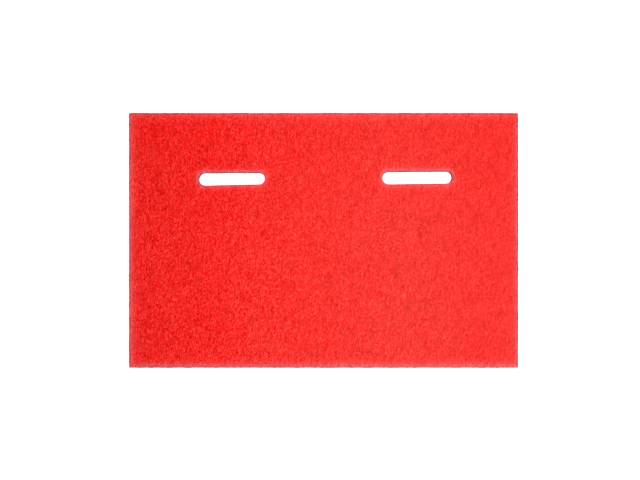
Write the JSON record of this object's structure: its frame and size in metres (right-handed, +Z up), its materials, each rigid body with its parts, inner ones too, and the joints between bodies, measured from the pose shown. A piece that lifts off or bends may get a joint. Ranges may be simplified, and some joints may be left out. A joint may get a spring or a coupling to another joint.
{
  "type": "rectangular floor pad",
  "caption": "Flat rectangular pad of bonded non-woven fibre with long slots along one side, for scrubbing and polishing hard floors under an orbital machine.",
  "frame": {"origin": "middle of the pad's underside, on the floor that it lies on", "axes": "+X along the pad's length and along both slots, +Y across the pad towards the side with the slots, +Z up from the floor"},
  "size_m": [0.55, 0.36, 0.02],
  "materials": {
    "red_fibre_web": "open web of curled, resin-bonded synthetic fibres, matt"
  },
  "bodies": {
    "root": {"floor_pad": "red_fibre_web"}
  },
  "joints": []
}
